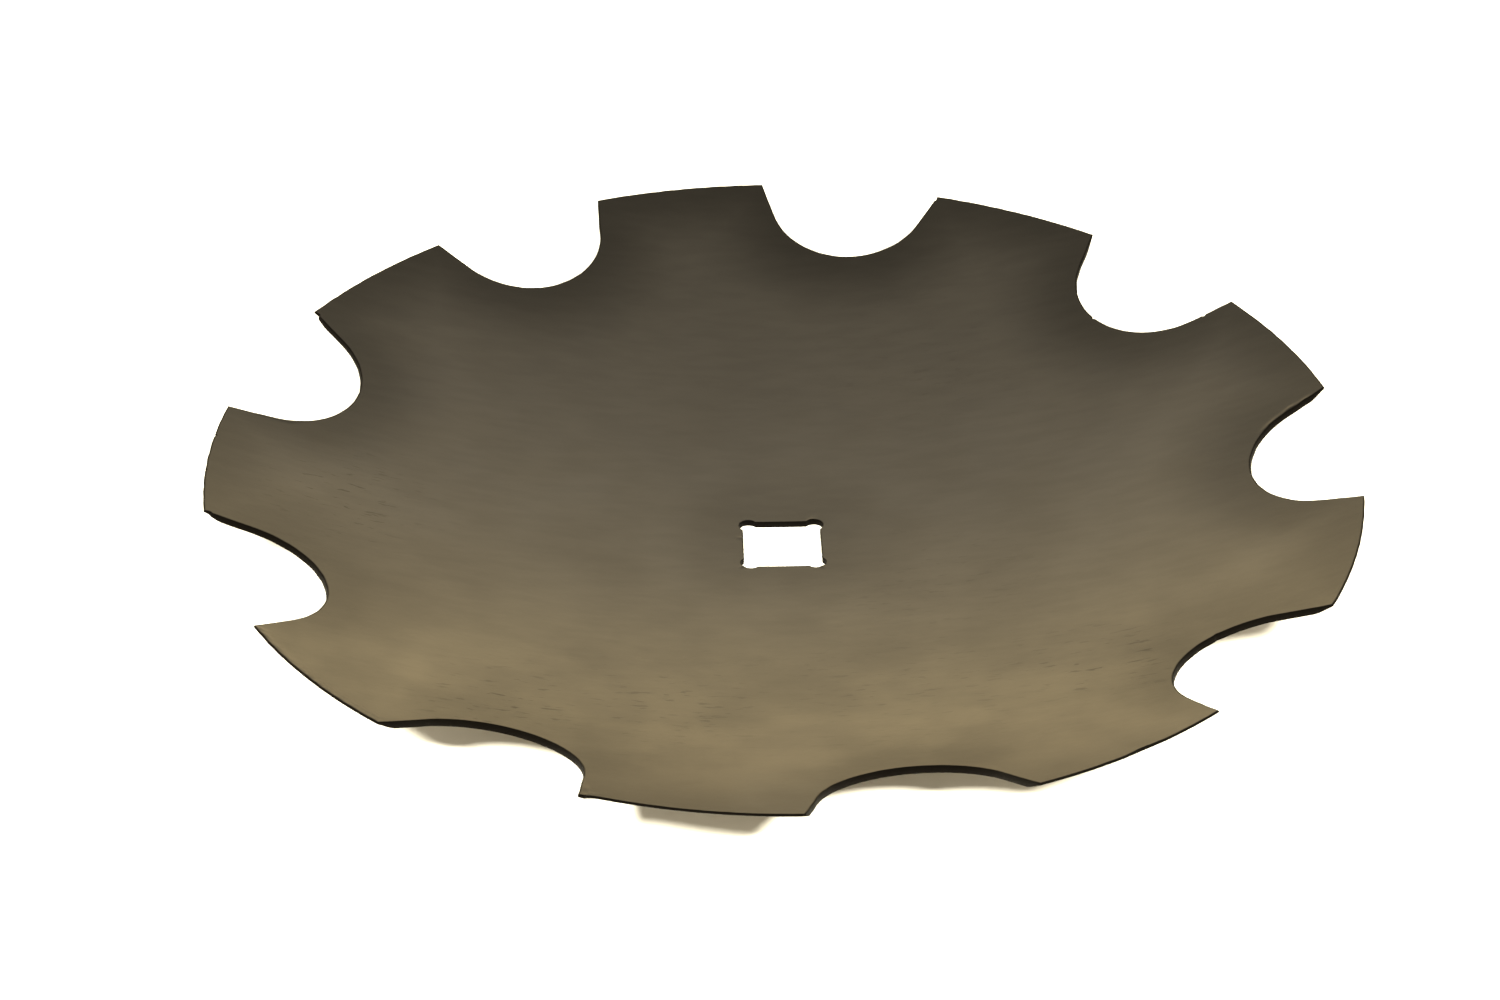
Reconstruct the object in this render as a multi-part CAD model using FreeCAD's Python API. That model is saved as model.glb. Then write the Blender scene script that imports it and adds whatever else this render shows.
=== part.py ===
"""Notched harrow disc blade: one piece of dished steel sheet with a square axle hole.

The blade lies as it rests on a floor, on the bulge of its underside, with its hollow side up.
Units are millimetres. The origin is on the blade's axis at floor level, where the rim of the
axle hole touches the floor. +Z runs up the axis. +X points through the middle of one notch
and is square to a flat side of the hole.
"""

import FreeCAD, Part
import math
import os

from FreeCAD import Vector

# Driving dimensions of the dished sheet
rim_diameter = 406.4        # across the sharp upper edge of the teeth, a 16 inch blade
dish_depth = 41.3           # from the rim plane down to the hollow face at the axis
sheet_thickness = 2.5
edge_land = 0.8             # what is left of the thickness at the sharpened rim
bevel_width = 6.0           # ground on the underside of each tooth, measured along the sheet

# Driving dimensions of the notches
notch_count = 9
notch_depth = 37.5          # from the rim to the bottom of a notch, along the sheet
notch_radius = 32.0         # round bottom of a notch
notch_flare = 24.0          # angle in degrees between a notch's straight side and its middle line

# Driving dimensions of the axle hole
hole_width = 28.2           # across the flats, for a 28 mm square axle
corner_radius = 3.5         # round relief in each corner of the hole
corner_bulge = 1.2          # how far a relief runs past each of the two flats it joins

# Cutting tools run this far past the sheet
clearance = 10.0

# Both faces of the sheet are parts of spheres about one centre on the axis
rim_radius = rim_diameter / 2
hollow_radius = (rim_radius ** 2 + dish_depth ** 2) / (2 * dish_depth)
bulge_radius = hollow_radius + sheet_thickness
rim_angle = math.asin(rim_radius / hollow_radius)
hole_half = hole_width / 2
centre_height = math.sqrt(bulge_radius ** 2 - hole_half ** 2)


def dish_point(radius, angle):
    """A point in the XZ plane, at a radius from the spheres' centre and an angle from the axis."""
    return Vector(radius * math.sin(angle), 0, centre_height - radius * math.cos(angle))


def arc(start, middle, end):
    return Part.Arc(start, middle, end).toShape()


def dish_blank():
    """The whole dish without notches or hole, revolved from its half section."""
    bevel_angle = rim_angle - bevel_width / bulge_radius
    hollow_axis = dish_point(hollow_radius, 0)
    hollow_rim = dish_point(hollow_radius, rim_angle)
    land_end = dish_point(hollow_radius + edge_land, rim_angle)
    bevel_end = dish_point(bulge_radius, bevel_angle)
    bulge_axis = dish_point(bulge_radius, 0)
    section = Part.Wire([
        arc(hollow_axis, dish_point(hollow_radius, rim_angle / 2), hollow_rim),
        Part.LineSegment(hollow_rim, land_end).toShape(),
        Part.LineSegment(land_end, bevel_end).toShape(),
        arc(bevel_end, dish_point(bulge_radius, bevel_angle / 2), bulge_axis),
        Part.LineSegment(bulge_axis, hollow_axis).toShape(),
    ])
    return Part.Face(section).revolve(Vector(0, 0, 0), Vector(0, 0, 1), 360)


def notch_cutter():
    """The tool for the notch on +X: its outline in the sheet's own plane there, run through the sheet.

    The outline is an arc about a centre near the rim, with a straight side running outward
    from each end of the arc, tangent to it.
    """
    centre_angle = rim_angle - (notch_depth - notch_radius) / hollow_radius
    flare = math.radians(notch_flare)
    centre = dish_point(hollow_radius, centre_angle)
    outward = Vector(math.cos(centre_angle), 0, math.sin(centre_angle))
    sideways = Vector(0, 1, 0)
    upward = Vector(-math.sin(centre_angle), 0, math.cos(centre_angle))
    reach = notch_radius + notch_depth + clearance
    drop = upward * -(sheet_thickness + clearance)

    def outline_point(along, across):
        return centre + drop + outward * along + sideways * across

    def tangent_point(side):
        return outline_point(-notch_radius * math.sin(flare), side * notch_radius * math.cos(flare))

    def mouth_point(side):
        across = notch_radius / math.cos(flare) + reach * math.tan(flare)
        return outline_point(reach, side * across)

    outline = Part.Wire([
        arc(tangent_point(-1), outline_point(-notch_radius, 0), tangent_point(1)),
        Part.LineSegment(tangent_point(1), mouth_point(1)).toShape(),
        Part.LineSegment(mouth_point(1), mouth_point(-1)).toShape(),
        Part.LineSegment(mouth_point(-1), tangent_point(-1)).toShape(),
    ])
    return Part.Face(outline).extrude(upward * (sheet_thickness + 2 * clearance))


def notch_cutters():
    """The notch tools, evenly spaced round the axis."""
    cutters = []
    for index in range(notch_count):
        cutter = notch_cutter()
        cutter.rotate(Vector(0, 0, 0), Vector(0, 0, 1), index * 360 / notch_count)
        cutters.append(cutter)
    return cutters


def hole_cutter():
    """The square punch for the axle hole, with a round relief at each corner."""
    height = sheet_thickness + 2 * clearance
    punch = Part.makeBox(hole_width, hole_width, height, Vector(-hole_half, -hole_half, -clearance))
    relief_place = hole_half + corner_bulge - corner_radius
    reliefs = []
    for side_x in (-1, 1):
        for side_y in (-1, 1):
            foot = Vector(side_x * relief_place, side_y * relief_place, -clearance)
            reliefs.append(Part.makeCylinder(corner_radius, height, foot))
    return punch.fuse(reliefs).removeSplitter()


def disc_blade():
    """The finished blade."""
    return dish_blank().cut(notch_cutters() + [hole_cutter()])


os.makedirs("parts", exist_ok=True)

blade = disc_blade().Solids[0]
blade.exportStep("parts/disc_blade.step")
print("valid", blade.isValid(), "volume", round(blade.Volume), "mm3")
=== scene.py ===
"""Notched harrow disc blade, lying hollow side up on a pale floor.

The blade is one mesh, built in the sheet's own coordinates: a distance from the axis along
the hollow face, called reach, an angle round the axis, called turn, and a depth below the
hollow face. Lengths are in metres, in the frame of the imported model: the blade's axis is +Z
and +X runs through the middle of one notch.
"""
import math

import bpy
import numpy as np
from mathutils import Matrix, Vector


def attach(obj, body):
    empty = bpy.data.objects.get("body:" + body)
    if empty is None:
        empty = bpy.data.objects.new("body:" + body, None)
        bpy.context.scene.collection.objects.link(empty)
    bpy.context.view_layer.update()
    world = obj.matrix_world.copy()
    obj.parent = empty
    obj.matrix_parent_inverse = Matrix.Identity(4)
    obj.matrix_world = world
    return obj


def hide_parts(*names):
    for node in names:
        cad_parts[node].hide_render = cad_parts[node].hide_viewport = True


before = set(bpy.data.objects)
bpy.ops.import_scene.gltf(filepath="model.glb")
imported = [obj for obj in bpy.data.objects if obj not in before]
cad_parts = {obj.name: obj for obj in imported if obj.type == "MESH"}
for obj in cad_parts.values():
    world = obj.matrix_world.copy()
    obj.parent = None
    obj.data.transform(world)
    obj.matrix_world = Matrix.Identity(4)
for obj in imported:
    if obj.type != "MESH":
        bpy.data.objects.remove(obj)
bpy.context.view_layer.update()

mm = 0.001

# The dished sheet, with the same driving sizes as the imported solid
rim_radius = 203.2 * mm
dish_depth = 41.3 * mm
sheet = 2.5 * mm
edge_land = 0.8 * mm
bevel_width = 6.0 * mm
notch_count = 9
notch_depth = 37.5 * mm
notch_radius = 32.0 * mm
notch_flare = math.radians(24.0)
hole_half = 14.1 * mm
relief_radius = 3.5 * mm
relief_bulge = 1.2 * mm
relief_place = hole_half + relief_bulge - relief_radius

hollow_radius = (rim_radius ** 2 + dish_depth ** 2) / (2 * dish_depth)
bulge_radius = hollow_radius + sheet
rim_angle = math.asin(rim_radius / hollow_radius)
rim_arc = hollow_radius * rim_angle
centre_height = math.sqrt(bulge_radius ** 2 - hole_half ** 2)
pitch = 2 * math.pi / notch_count
notch_centre_angle = rim_angle - (notch_depth - notch_radius) / hollow_radius

# Marks of use, each placed by its turn in degrees and its reach in millimetres.
# Bites are missing metal: half width along the edge and depth into the sheet, in millimetres.
bites = [
    (190.3, 208.0, 1.3, 0.75),
    (182.3, 208.0, 0.7, 0.35),
    (175.9, 208.0, 0.9, 0.55),
    (150.4, 208.0, 1.6, 0.80),
    (42.0, 169.0, 1.0, 0.50),
    (30.5, 197.0, 0.9, 0.45),
    (250.5, 208.0, 1.8, 0.90),
    (301.0, 208.0, 8.0, 0.90),
    (322.0, 190.0, 1.2, 0.30),
    (70.6, 208.0, 1.0, 0.35),
]
# Burrs are lips raised on the hollow face: start and end, distance from the edge, half width
# and height in millimetres.
burrs = [
    ((9.1, 173.0), (10.6, 204.0), 0.7, 0.7, 0.30),
    ((210.3, 207.0), (230.5, 207.0), 1.5, 1.0, 0.22),
    ((168.0, 176.0), (169.6, 200.0), 0.6, 0.5, 0.20),
]
# The bent corner of a tooth: place, how far the bend reaches and how far the tip is pushed down
bent_corner = ((250.5, 206.0), 3.2, 0.9)
# Scuffed stretches of the hollow face: place, radius of the stretch, strength
scuffs = [
    ((180.0, 157.0), 34.0, 0.9),
    ((232.0, 158.0), 30.0, 1.0),
    ((315.0, 145.0), 30.0, 1.0),
    ((290.0, 110.0), 55.0, 0.45),
    ((250.0, 120.0), 45.0, 0.55),
    ((330.0, 60.0), 45.0, 0.40),
    ((60.0, 120.0), 60.0, 0.30),
]
# Lumps that the punch left at the hole: x, y, size and height in millimetres
lumps = [
    (11.2, 14.2, 1.3, 0.45),
    (-14.6, -14.4, 0.8, 0.25),
    (13.4, -15.0, 0.8, 0.25),
    (-14.8, 4.0, 0.9, 0.2),
]

# Wear all along the edges, and how many waves of unevenness may go once round
edge_wear = 0.07 * mm
hole_wear = 0.10 * mm
wear_waves = 260
bite_waves = 900
burr_waves = 420
wander_waves = 300
hole_waves = 90


# ---- outline -------------------------------------------------------------------------------

search_start = 0.6               # share of the way to the rim where the search starts
outline_halvings = 40
corner_halvings = 48
outline_samples = 1400           # points for each notch and its tooth
wave_terms = 24                  # sines that are added up, and what their sum is divided by
wave_divisor = 6


def smooth(x):
    """A soft step from 0 to 1 as x goes from 0 to 1."""
    x = np.clip(x, 0, 1)
    return x * x * (3 - 2 * x)


def notch_gap(angle_in_sheet, turn):
    """How far a point of the hollow face lies inside the notch on turn 0, negative in steel."""
    centre = notch_centre_angle
    along = hollow_radius * (np.sin(angle_in_sheet) * np.cos(turn) * math.cos(centre)
                             - np.cos(angle_in_sheet) * math.sin(centre))
    across = np.abs(hollow_radius * np.sin(angle_in_sheet) * np.sin(turn))
    round_bottom = notch_radius - np.hypot(along, across)
    straight_side = (notch_radius / math.cos(notch_flare) + along * math.tan(notch_flare)
                     - across) * math.cos(notch_flare)
    return np.where(along < -notch_radius * math.sin(notch_flare), round_bottom, straight_side)


def outer_reach(turn):
    """Distance from the axis to the outline along the sheet, at any turn."""
    folded = np.abs((np.asarray(turn) + pitch / 2) % pitch - pitch / 2)
    # halve the stretch that holds the outline: it starts nearer to the axis than any notch
    low = np.full(folded.shape, search_start * rim_arc)
    high = np.full(folded.shape, rim_arc)
    for _ in range(outline_halvings):
        middle = (low + high) / 2
        in_notch = notch_gap(middle / hollow_radius, folded) > 0
        high = np.where(in_notch, middle, high)
        low = np.where(in_notch, low, middle)
    return high


def corner_turn():
    """The angle from a notch's middle to the tooth corner beside it."""
    low, high = 0.0, pitch / 2
    for _ in range(corner_halvings):
        middle = (low + high) / 2
        if notch_gap(rim_angle, middle) > 0:
            low = middle
        else:
            high = middle
    return high


def hole_reach(turn):
    """Distance from the axis to the hole's edge, square with a round relief in each corner."""
    folded = np.abs((turn + math.pi / 4) % (math.pi / 2) - math.pi / 4)
    flat = hole_half / np.cos(folded)
    # where the ray leaves the relief circle, whose centre is on the diagonal
    lean = math.pi / 4 - folded
    far = relief_place * math.sqrt(2)
    under_root = relief_radius ** 2 - (far * np.sin(lean)) ** 2
    relief = np.where(under_root > 0, far * np.cos(lean) + np.sqrt(np.maximum(under_root, 0)), 0)
    return np.maximum(flat, relief)


def flat_place(turn_degrees, reach_mm):
    """A place on the sheet, unrolled flat."""
    turn = math.radians(turn_degrees)
    return np.array([math.cos(turn), math.sin(turn)]) * reach_mm * mm


def waves(length, total, count, seed):
    """Smooth noise, mostly between -1 and 1, along a closed line, with up to count waves."""
    draw = np.random.default_rng(seed)
    result = np.zeros(np.shape(length))
    for _ in range(wave_terms):
        turns = draw.integers(count // 6, count)
        result += np.sin(2 * math.pi * (turns * length / total + draw.random()))
    return result / wave_divisor


class Outline:
    """The outer edge once round: running length against turn, finely sampled."""

    def __init__(self):
        self.turn = np.linspace(0, 2 * math.pi, outline_samples * notch_count + 1)
        reach = outer_reach(self.turn)
        self.flat = np.stack([reach * np.cos(self.turn), reach * np.sin(self.turn)], axis=-1)
        steps = np.linalg.norm(np.diff(self.flat, axis=0), axis=1)
        self.length = np.concatenate([[0], np.cumsum(steps)])
        self.total = self.length[-1]

    def length_at(self, place):
        """Running length of the outline's nearest point to a place on the flat sheet."""
        nearest = np.argmin(np.linalg.norm(self.flat - place, axis=1))
        return self.length[nearest]

    def turn_at(self, length):
        """Turn of the outline's point at a running length."""
        return np.interp(length, self.length, self.turn)

    def gap(self, length, centre):
        """Distance along the closed outline from a centre, with a sign."""
        return (length - centre + self.total / 2) % self.total - self.total / 2


outline = Outline()


# ---- mesh ----------------------------------------------------------------------------------

notch_steps = 32                 # columns on half a notch
tooth_steps = 44                 # columns on a tooth's rim
bite_columns = 13                # columns over a bite, and past it on both sides
bite_span = 1.5                  # how many half widths they reach from its middle
corner_margin = 0.2 * mm         # no extra column starts this near to a corner
column_margin = 0.15 * mm        # an even column this near to an extra one is left out
same_place = 1e-6                # an even column this near to a corner is always kept
corner_tolerance = 1e-7          # and within this length it stands on the corner


def nearest_mark(lengths, marks):
    """How far each running length is from the nearest of some marks."""
    return np.abs(lengths[:, None] - marks[None, :]).min(axis=1)


def column_lengths():
    """Where the mesh's columns start on the outline, and which places are tooth corners.

    The steps are even on the notches and on the teeth, with finer ones at each bite.
    """
    one = outline.total / notch_count
    corner = np.interp(corner_turn(), outline.turn, outline.length)
    half_notch = np.linspace(0, corner, notch_steps + 1)
    tooth = np.linspace(corner, one - corner, tooth_steps + 1)
    pattern = np.concatenate([half_notch[:-1], tooth[:-1], (one - half_notch[::-1])[:-1]])
    regular = np.concatenate([pattern + k * one for k in range(notch_count)])
    corners = np.concatenate([[k * one + corner, (k + 1) * one - corner]
                              for k in range(notch_count)])
    extra = []
    for turn, reach, half_width, _ in bites:
        centre = outline.length_at(flat_place(turn, reach))
        fine = centre + half_width * mm * np.linspace(-bite_span, bite_span, bite_columns)
        extra.extend(fine % outline.total)
    extra = np.array(extra)
    extra = extra[nearest_mark(extra, corners) > corner_margin]
    is_corner = nearest_mark(regular, corners) < same_place
    kept = regular[(nearest_mark(regular, extra) > column_margin) | is_corner]
    lengths = np.unique(np.concatenate([kept, extra]))
    return lengths, corners


def bitten(lengths):
    """How far the edge has lost metal at each running length."""
    lost = edge_wear * (1 + waves(lengths, outline.total, wear_waves, seed=3)).clip(0)
    for k, (turn, reach, half_width, depth) in enumerate(bites):
        centre = outline.length_at(flat_place(turn, reach))
        share = np.abs(outline.gap(lengths, centre)) / (half_width * mm)
        bowl = np.clip(1 - share ** 2, 0, 1) ** 1.2
        rough = 1 + 0.25 * waves(lengths, outline.total, bite_waves, seed=20 + k)
        lost += depth * mm * bowl * rough
    return lost


burr_fade = 4 * mm               # a burr rises to its full height over this length


def raised(lengths, step):
    """Height of the burrs above the hollow face, at a distance from the edge."""
    height = np.zeros(lengths.shape)
    for k, (start, end, inside, half_width, top) in enumerate(burrs):
        first = outline.length_at(flat_place(*start))
        last = outline.length_at(flat_place(*end))
        middle = (first + last) / 2
        half = abs(last - first) / 2
        window = smooth((half - np.abs(outline.gap(lengths, middle))) / burr_fade)
        uneven = 0.65 + 0.6 * waves(lengths, outline.total, burr_waves, seed=40 + k)
        wander = inside + 0.35 * waves(lengths, outline.total, wander_waves, seed=60 + k)
        ridge = np.exp(-((step / mm - wander) / half_width) ** 2)
        height += top * mm * window * uneven.clip(0) * ridge
    return height


def bottom_depth(reach):
    """Depth of the underside below the hollow face: the sheet, ground thinner along the rim."""
    into_bevel = np.clip((reach - (rim_arc - bevel_width)) / bevel_width, 0, 1)
    return sheet - (sheet - edge_land) * into_bevel


def sheet_point(reach, turn, depth):
    """The place in space of points given in the sheet's own coordinates."""
    angle = reach / hollow_radius
    radius = hollow_radius + depth
    return np.stack([radius * np.sin(angle) * np.cos(turn),
                     radius * np.sin(angle) * np.sin(turn),
                     centre_height - radius * np.cos(angle)], axis=-1)


# The rings, from the outer edge to the hole. The steps go in from the outline, the drops from
# the last of them towards the axis, and the rises and the hole's steps outward from the hole.
edge_steps = np.array([0.0, 0.10, 0.30, 0.7, 1.2, 1.8, 2.6]) * mm
outer_drops = np.array([1.2, 2.6, 4.8, 8.0, 12.5, 18.5, 26.5, 36.5]) * mm
inner_rises = np.array([34.0, 26.0, 19.0, 13.0, 8.5, 5.0, 2.8, 1.5]) * mm
hole_steps = np.array([0.6, 0.25, 0.08, 0.0]) * mm
middle_steps = 9                 # even steps between the drops and the rises
shift_start = 0.1                # share of those steps where columns start to spread evenly
corner_zone = 7.0 * mm           # columns within this length of a corner lean towards it
edge_sink = np.array([0.20, 0.05]) * mm      # rounding of the edges' first and second ring


def inward_steps(flat, lengths, corners):
    """The way each column goes for each metre that the edge moves into the sheet.

    On a plain edge it is square to the edge. At a corner it is along the corner's middle line,
    and the columns beside it lean the same way, so that no two of them cross.
    """
    ahead = np.roll(flat, -1, axis=0) - flat
    behind = flat - np.roll(flat, 1, axis=0)
    ahead /= np.linalg.norm(ahead, axis=1)[:, None]
    behind /= np.linalg.norm(behind, axis=1)[:, None]
    apart = lengths[:, None] - corners[None, :]
    nearest = np.abs(apart).argmin(axis=1)
    from_corner = apart[np.arange(len(lengths)), nearest]
    on_corner = np.abs(from_corner) < corner_tolerance
    along = np.where(on_corner[:, None], ahead, ahead + behind)
    along /= np.linalg.norm(along, axis=1)[:, None]
    square = np.stack([-along[:, 1], along[:, 0]], axis=-1)
    first = np.flatnonzero(on_corner)[0]
    turned = math.acos(float(np.clip(ahead[first] @ behind[first], -1, 1)))
    lean = math.tan(turned / 2) * np.clip(1 - np.abs(from_corner) / corner_zone, 0, 1)
    side = np.where(from_corner < -corner_tolerance, -1.0, 1.0)
    return square + along * (lean * side)[:, None]


def round_places(radius, turn):
    """Places on the flat sheet, from their distances and turns round the axis."""
    return np.stack([radius * np.cos(turn), radius * np.sin(turn)], axis=-1)


def blade_rings(lengths, corners):
    """Flat positions of the mesh's rings, from the outer edge to the hole."""
    turns = outline.turn_at(lengths)
    reach = outer_reach(turns)
    spread = 2 * math.pi * lengths / outline.total
    flat = round_places(reach, turns)
    inward = inward_steps(flat, lengths, corners)
    lost = bitten(lengths)

    rings = []
    for step in edge_steps:
        # the bites fade out towards the last of these rings, which is even again
        depth = lost + step * (1 - lost / edge_steps[-1])
        rings.append(flat + inward * depth[:, None])
    start = rings[-1]
    start_reach = np.hypot(start[:, 0], start[:, 1])
    start_turn = np.unwrap(np.arctan2(start[:, 1], start[:, 0]))
    round_start = hole_half + inner_rises[0]

    for drop in outer_drops:
        rings.append(round_places(start_reach - drop, start_turn))
    for k in range(1, middle_steps):
        share = k / middle_steps
        shift = smooth((share - shift_start) / (1 - shift_start))
        turn = start_turn * (1 - shift) + spread * shift
        radius = (start_reach - outer_drops[-1]) * (1 - share) + round_start * share
        rings.append(round_places(radius, turn))
    hole = hole_reach(spread) - hole_roughness(spread)
    for rise in inner_rises:
        # rings turn from a circle into the hole's own outline as they near it
        near = smooth(1 - rise / inner_rises[0])
        radius = (hole_half + rise) * (1 - near) + (hole + rise) * near
        rings.append(round_places(radius, spread))
    for step in hole_steps:
        rings.append(round_places(hole + step, spread))
    return np.array(rings)       # ring, column, xy


def hole_roughness(turn):
    """Small torn places in the hole's edge, mostly on its -X side."""
    ragged = hole_wear * waves(turn, 2 * math.pi, hole_waves, seed=80)
    side = np.clip(-np.cos(turn), 0, 1) ** 2
    return ragged * (0.25 + 0.75 * side)


def hole_lumps(x, y):
    """Height of the lumps that the punch left round the hole."""
    height = np.zeros(x.shape)
    for at_x, at_y, size, top in lumps:
        away = np.hypot(x / mm - at_x, y / mm - at_y)
        height += top * mm * np.exp(-(away / size) ** 2)
    return height


block_size = 2000                # points that are compared with a line at a time


def nearest_distance(points, line):
    """Distance from each point to the nearest point of a line."""
    result = np.empty(len(points))
    for start in range(0, len(points), block_size):
        block = points[start:start + block_size]
        apart = block[:, None, :] - line[None, :, :]
        result[start:start + block_size] = np.sqrt((apart ** 2).sum(axis=2).min(axis=1))
    return result


def scuffed(points):
    """Strength of the scuffs at each place of the flat sheet."""
    strength = np.zeros(len(points))
    for place, radius, top in scuffs:
        away = np.linalg.norm(points - flat_place(*place), axis=1)
        strength = np.maximum(strength, top * np.exp(-(away / (radius * mm)) ** 2 * 1.5))
    return strength


def cut_edges(ring_count, count):
    """1 on the sheared walls and on the rings beside them, fading to 0 on the next two."""
    one_face = np.zeros((ring_count, count))
    one_face[[0, 1, -1, -2]] = 1.0
    one_face[[2, -3]] = 0.5
    return np.concatenate([one_face.ravel(), one_face.ravel(), np.ones(2 * count)])


def set_normals(mesh, ring_count, count, reach):
    """Give both faces the exact normals of their spheres, away from the edges and the bevel."""
    normals = np.empty(len(mesh.vertices) * 3, dtype=np.float32)
    mesh.vertex_normals.foreach_get("vector", normals)
    normals = normals.reshape(-1, 3)
    points = np.empty(len(mesh.vertices) * 3, dtype=np.float32)
    mesh.vertices.foreach_get("co", points)
    away = points.reshape(-1, 3) - np.array([0, 0, centre_height])
    away /= np.linalg.norm(away, axis=1)[:, None]
    ring = np.arange(ring_count)[:, None] * np.ones((1, count), dtype=int)
    open_top = (ring > len(edge_steps)) & (ring < ring_count - len(hole_steps) - 2)
    open_base = open_top & (reach < rim_arc - bevel_width - 1 * mm)
    top = np.flatnonzero(open_top)
    base = ring_count * count + np.flatnonzero(open_base)
    normals[top] = -away[top]
    normals[base] = away[base]
    mesh.normals_split_custom_set_from_vertices(normals.tolist())


def face_points(rings, reach, lengths):
    """The points of the hollow face and the underside, with the burrs, the lumps and the bend."""
    turn = np.arctan2(rings[..., 1], rings[..., 0])
    ring_count, count, _ = rings.shape
    # the edges are slightly rounded: their rings sink towards the middle of the thickness
    sink = np.zeros((ring_count, 1))
    sink[[0, 1], 0] = edge_sink
    sink[[-1, -2], 0] = edge_sink
    top_depth = sink * np.ones((1, count))
    for k, step in enumerate(edge_steps):
        top_depth[k] -= raised(lengths, step)
    top_depth -= hole_lumps(rings[..., 0], rings[..., 1])
    bend_place, bend_size, bend_drop = bent_corner
    away = np.linalg.norm(rings - flat_place(*bend_place), axis=2)
    bend = bend_drop * mm * np.exp(-(away / (bend_size * mm)) ** 2)
    top = sheet_point(reach, turn, top_depth + bend)
    base = sheet_point(reach, turn, bottom_depth(reach) - sink + bend)
    return top, base


def band(upper, lower):
    """The quads between two rings, each given by its vertices' numbers."""
    return np.stack([lower, np.roll(lower, -1), np.roll(upper, -1), upper], axis=-1)


def blade_faces(ring_count, count):
    """The quads of both faces and of both walls, which have a middle row of their own."""
    top = np.arange(ring_count * count).reshape(ring_count, count)
    base = top + ring_count * count
    outer_middle = 2 * ring_count * count + np.arange(count)
    hole_middle = outer_middle + count
    bands = []
    for k in range(ring_count - 1):
        bands.append(band(top[k + 1], top[k]))
        bands.append(band(base[k], base[k + 1]))
    bands.append(band(top[0], outer_middle))
    bands.append(band(outer_middle, base[0]))
    bands.append(band(base[-1], hole_middle))
    bands.append(band(hole_middle, top[-1]))
    return np.concatenate(bands)


def build_blade():
    """The blade's mesh, with the attributes that its material reads."""
    lengths, corners = column_lengths()
    rings = blade_rings(lengths, corners)
    ring_count, count, _ = rings.shape
    reach = np.hypot(rings[..., 0], rings[..., 1])
    top, base = face_points(rings, reach, lengths)
    vertices = np.concatenate([top.reshape(-1, 3), base.reshape(-1, 3),
                               (top[0] + base[0]) / 2, (top[-1] + base[-1]) / 2])
    flat = np.concatenate([rings.reshape(-1, 2), rings.reshape(-1, 2), rings[0], rings[-1]])

    mesh = bpy.data.meshes.new("blade")
    mesh.from_pydata(vertices.tolist(), [], blade_faces(ring_count, count).tolist())
    mesh.update()
    mesh.polygons.foreach_set("use_smooth", [True] * len(mesh.polygons))
    set_normals(mesh, ring_count, count, reach)
    # every second or fourth point of an edge is near enough for the distance to it
    for name, values in (("rim_gap", nearest_distance(flat, rings[0][::2])),
                         ("hole_gap", nearest_distance(flat, rings[-1][::4])),
                         ("cut_edge", cut_edges(ring_count, count)),
                         ("scuff", scuffed(flat))):
        layer = mesh.attributes.new(name, "FLOAT", "POINT")
        layer.data.foreach_set("value", values.astype(np.float32))
    blade = bpy.data.objects.new("blade", mesh)
    bpy.context.scene.collection.objects.link(blade)
    return blade


blade = build_blade()
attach(blade, "root")
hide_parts("disc_blade")


# ---- materials -----------------------------------------------------------------------------

steel_colour = (0.068, 0.063, 0.053)
cut_colour = (0.008, 0.007, 0.006)
dust_colour = (0.5, 0.47, 0.40)
rim_shade_width = 0.042          # how far the painted shade reaches from the outline and the hole
hole_shade_width = 0.035
steel_roughness = (0.31, 0.39)
scuff_roughness = 0.15           # added to the steel's own, as is the next
cut_roughness = 0.5
peel_height = 0.00006
wave_height = 0.0001
pit_height = -0.00006
floor_colour = (0.66, 0.66, 0.66)
floor_size = 12.0


class Nodes:
    """A short way to write a node tree: inputs are numbers, colours or other nodes' outputs."""

    def __init__(self, tree):
        self.tree = tree

    def fill(self, node, inputs):
        """Set or link a node's inputs."""
        for name, value in inputs.items():
            socket = node.inputs[name]
            if isinstance(value, bpy.types.NodeSocket):
                self.tree.links.new(value, socket)
            else:
                socket.default_value = value

    def add(self, kind, inputs=None, **settings):
        """A new shader node of a kind, with its settings and inputs."""
        node = self.tree.nodes.new("ShaderNode" + kind)
        for name, value in settings.items():
            setattr(node, name, value)
        self.fill(node, inputs or {})
        return node

    def math(self, operation, first, second):
        return self.add("Math", {0: first, 1: second}, operation=operation).outputs[0]

    def scaled(self, vector, factors):
        product = self.add("VectorMath", {0: vector, 1: factors}, operation="MULTIPLY")
        return product.outputs[0]

    def noise(self, vector, scale, detail=2.0, rough=0.5):
        inputs = {"Vector": vector, "Scale": scale, "Detail": detail, "Roughness": rough}
        return self.add("TexNoise", inputs).outputs["Fac"]

    def mix(self, share, first, second):
        inputs = {"Factor": share, "A": first, "B": second}
        return self.add("Mix", inputs, data_type="VECTOR").outputs["Result"]

    def spread(self, value, low, high, to_low, to_high, kind="SMOOTHSTEP"):
        """A value's range from low to high, stretched to another range and held at its ends."""
        inputs = {"Value": value, "From Min": low, "From Max": high,
                  "To Min": to_low, "To Max": to_high}
        return self.add("MapRange", inputs, interpolation_type=kind).outputs["Result"]

    def attribute(self, name):
        return self.add("Attribute", attribute_name=name).outputs["Fac"]


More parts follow.
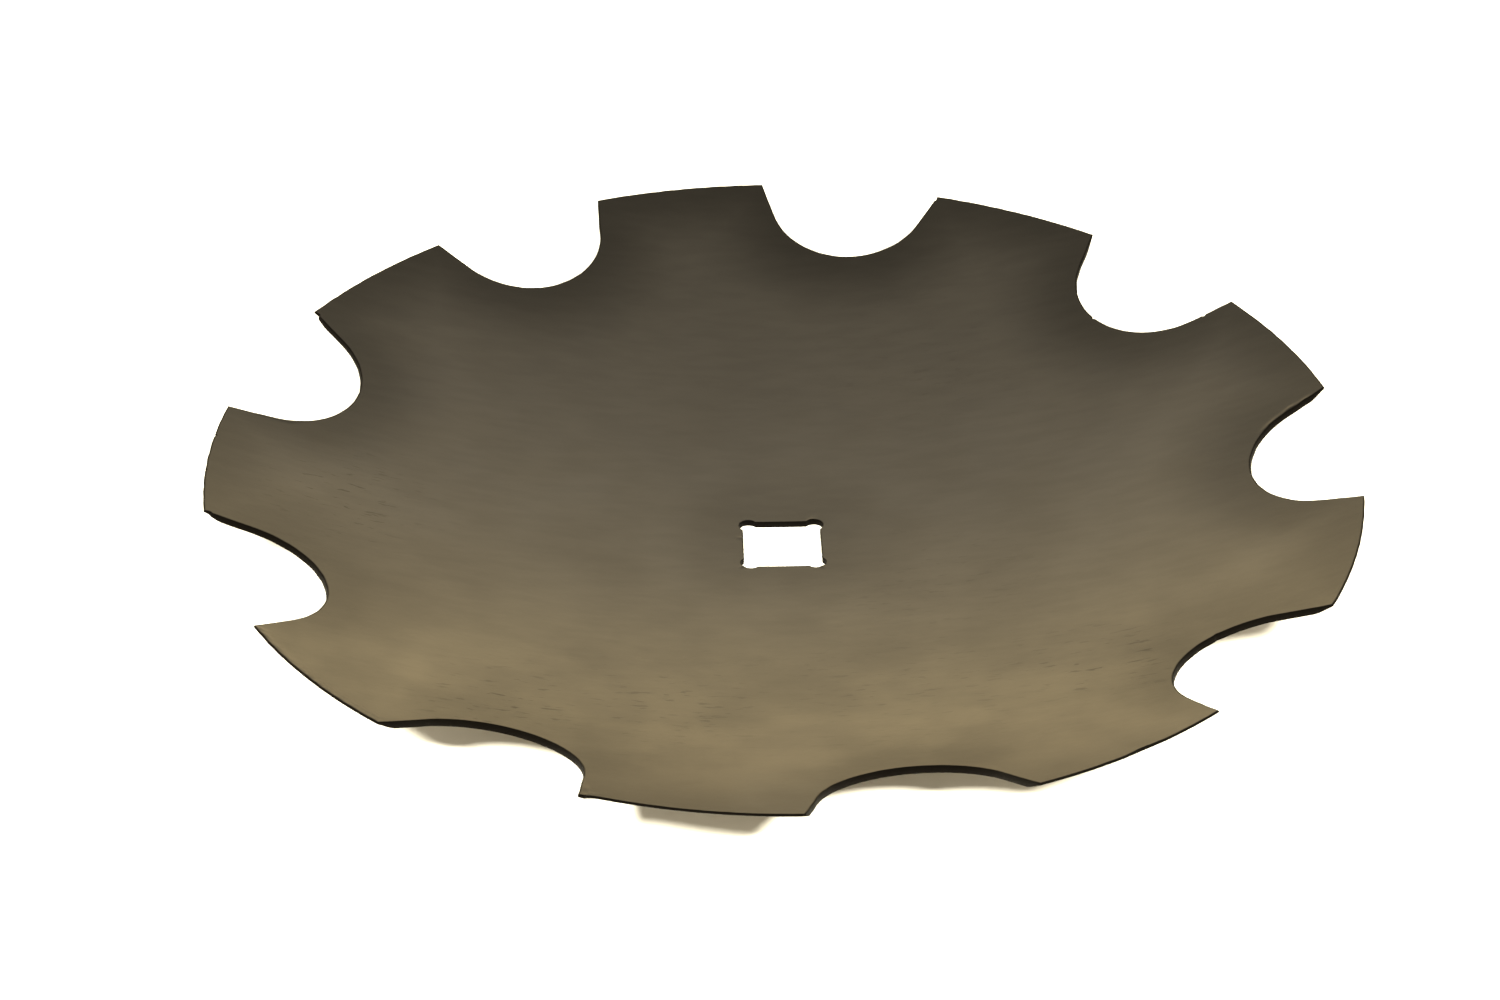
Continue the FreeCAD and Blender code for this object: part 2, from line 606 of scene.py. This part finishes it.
def steel_material():
    """Dark satin metal, with painted shade near every edge, dull sheared edges, scuffs and a
    little dust.
    """
    material = bpy.data.materials.new("blade_finish")
    material.use_nodes = True
    n = Nodes(material.node_tree)
    shader = material.node_tree.nodes["Principled BSDF"]
    place = n.add("TexCoord").outputs["Object"]
    rolled = n.scaled(place, (1.0, 4.0, 1.0))        # the sheet was rolled along X

    # how light the metal is: painted shade darkens it near the outline and near the hole; it is
    # also mottled and streaked, and dashed in the scuffs
    # painted shade: darker towards the outline and the hole
    painted_rim_shade = n.spread(n.attribute("rim_gap"), 0.0, rim_shade_width, 0.55, 1.04)
    painted_hole_shade = n.spread(n.attribute("hole_gap"), 0.0, hole_shade_width, 0.80, 1.0)
    mottle = n.spread(n.noise(place, 12.0, 3.0), 0.3, 0.7, 0.95, 1.05)
    streaks = n.spread(n.noise(rolled, 60.0, 4.0), 0.3, 0.7, 0.96, 1.04)
    scuff = n.attribute("scuff")
    dashes = n.spread(n.noise(rolled, 150.0, 2.0), 0.60, 0.70, 0.0, 1.0)
    dash_mark = n.math("MULTIPLY", dashes, scuff)
    # the painted shade times the metal's own mottle, streaks and scuff dashes
    shade_and_tone = n.math("MULTIPLY", painted_rim_shade, painted_hole_shade)
    shade_and_tone = n.math("MULTIPLY", shade_and_tone, mottle)
    shade_and_tone = n.math("MULTIPLY", shade_and_tone, streaks)
    shade_and_tone = n.math("MULTIPLY", shade_and_tone, n.spread(dash_mark, 0.0, 1.0, 1.0, 0.78, "LINEAR"))
    shaded_and_toned = n.add("VectorMath", {0: steel_colour, "Scale": shade_and_tone}, operation="SCALE").outputs[0]

    # a few bright specks of dust
    cells = n.add("TexVoronoi", {"Vector": place, "Scale": 55.0}, feature="F1")
    dot = n.spread(cells.outputs["Distance"], 0.02, 0.035, 1.0, 0.0)
    pick = n.add("SeparateXYZ", {0: cells.outputs["Color"]}).outputs["X"]
    dust = n.math("MULTIPLY", dot, n.spread(pick, 0.86, 0.88, 0.0, 1.0))
    # the dust specks laid over the shaded and toned steel
    dust_and_shade = n.mix(dust, shaded_and_toned, dust_colour)

    # the sheared walls are darker and duller
    cut = n.attribute("cut_edge")
    n.fill(shader, {"Base Color": n.mix(cut, dust_and_shade, cut_colour)})
    shader.inputs["Metallic"].default_value = 1.0
    rough = n.spread(n.noise(place, 35.0, 4.0), 0.3, 0.7, *steel_roughness)
    rough = n.math("ADD", rough, n.math("MULTIPLY", dash_mark, scuff_roughness))
    rough = n.math("ADD", rough, n.math("MULTIPLY", cut, cut_roughness))
    n.fill(shader, {"Roughness": rough})

    # fine waviness of the finish, with shallow pits in the scuffed stretches
    peel = n.math("MULTIPLY", n.noise(place, 420.0, 3.0), peel_height)
    wide = n.math("MULTIPLY", n.noise(rolled, 26.0, 2.0), wave_height)
    pits = n.math("MULTIPLY", dash_mark, pit_height)
    height = n.math("ADD", n.math("ADD", peel, wide), pits)
    bump = n.add("Bump", {"Height": height, "Strength": 0.35, "Distance": 1.0})
    n.fill(shader, {"Normal": bump.outputs["Normal"]})
    return material


blade.data.materials.append(steel_material())


def floor_material():
    """A matt pale floor."""
    material = bpy.data.materials.new("floor")
    material.use_nodes = True
    shader = material.node_tree.nodes["Principled BSDF"]
    shader.inputs["Base Color"].default_value = (*floor_colour, 1)
    shader.inputs["Roughness"].default_value = 0.9
    shader.inputs["Specular IOR Level"].default_value = 0.2
    return material


bpy.ops.mesh.primitive_plane_add(size=floor_size, location=(0, 0, 0))
floor = bpy.context.object
floor.name = "floor"
floor.data.materials.append(floor_material())

# ---- camera --------------------------------------------------------------------------------

camera_distance = 1.0621         # from the bottom of the dish
camera_rise = math.radians(34.23)
camera_turn = math.radians(-92.37)
camera_lens = 70.30              # in millimetres, as the sensor's width is
sensor_width = 36
dish_bottom = Vector((0, 0, centre_height - hollow_radius))
aim = Vector((-0.0109, 0.0294, dish_bottom.z))


def direction(turn, rise):
    """The unit vector at a turn round the axis and a rise above the floor."""
    return Vector((math.cos(rise) * math.cos(turn), math.cos(rise) * math.sin(turn),
                   math.sin(rise)))


def facing(place, target):
    """The matrix that stands a camera or lamp at a place and points it at a target."""
    look = (target - place).to_track_quat("-Z", "Y").to_matrix().to_4x4()
    return Matrix.Translation(place) @ look


camera_data = bpy.data.cameras.new("camera")
camera_data.lens = camera_lens
camera_data.sensor_width = sensor_width
camera = bpy.data.objects.new("camera", camera_data)
bpy.context.scene.collection.objects.link(camera)
camera.matrix_world = facing(dish_bottom + camera_distance * direction(camera_turn, camera_rise),
                             aim)
bpy.context.scene.camera = camera
bpy.context.scene.view_settings.view_transform = "Standard"

# ---- light ---------------------------------------------------------------------------------

lamp_distance = 1.3              # from the frame's origin
lamp_rise = math.radians(40.0)
lamp_spread = math.radians(21.0)             # to either side of the camera
lamp_size = 0.10
lamp_power = 62.0
lamp_colour = (1.0, 0.93, 0.72)
# The sky's brightness: on the camera's half of the room, and at its highest on the far side
sky_strength = (3.3, 4.25)
# The sky's colours, by the upward part of the direction looked in
sky = [
    (0.05, (0.80, 0.625, 0.340)),
    (0.30, (0.60, 0.490, 0.300)),
    (0.56, (0.44, 0.400, 0.325)),
    (0.80, (0.285, 0.260, 0.220)),
    (0.95, (0.245, 0.225, 0.190)),
]

for name, side in (("left_lamp", -1), ("right_lamp", 1)):
    lamp_data = bpy.data.lights.new(name, "AREA")
    lamp_data.shape = "DISK"
    lamp_data.size = lamp_size
    lamp_data.energy = lamp_power
    lamp_data.color = lamp_colour
    lamp = bpy.data.objects.new(name, lamp_data)
    lamp.visible_glossy = False        # the satin metal mirrors only the soft surroundings
    bpy.context.scene.collection.objects.link(lamp)
    lamp.matrix_world = facing(
        lamp_distance * direction(camera_turn + side * lamp_spread, lamp_rise), dish_bottom)

world = bpy.data.worlds.new("studio")
bpy.context.scene.world = world
world.use_nodes = True
n = Nodes(world.node_tree)
toward = n.add("SeparateXYZ", {0: n.add("TexCoord").outputs["Generated"]})
ramp = n.add("ValToRGB", {"Fac": toward.outputs["Z"]})
stops = ramp.color_ramp.elements
while len(stops) < len(sky):
    stops.new(0.5)
for stop, (position, colour) in zip(stops, sky):
    stop.position = position
    stop.color = (*colour, 1)
background = world.node_tree.nodes["Background"]
strength = n.spread(toward.outputs["Y"], 0.0, 0.9, *sky_strength)
n.fill(background, {"Color": ramp.outputs["Color"], "Strength": strength})
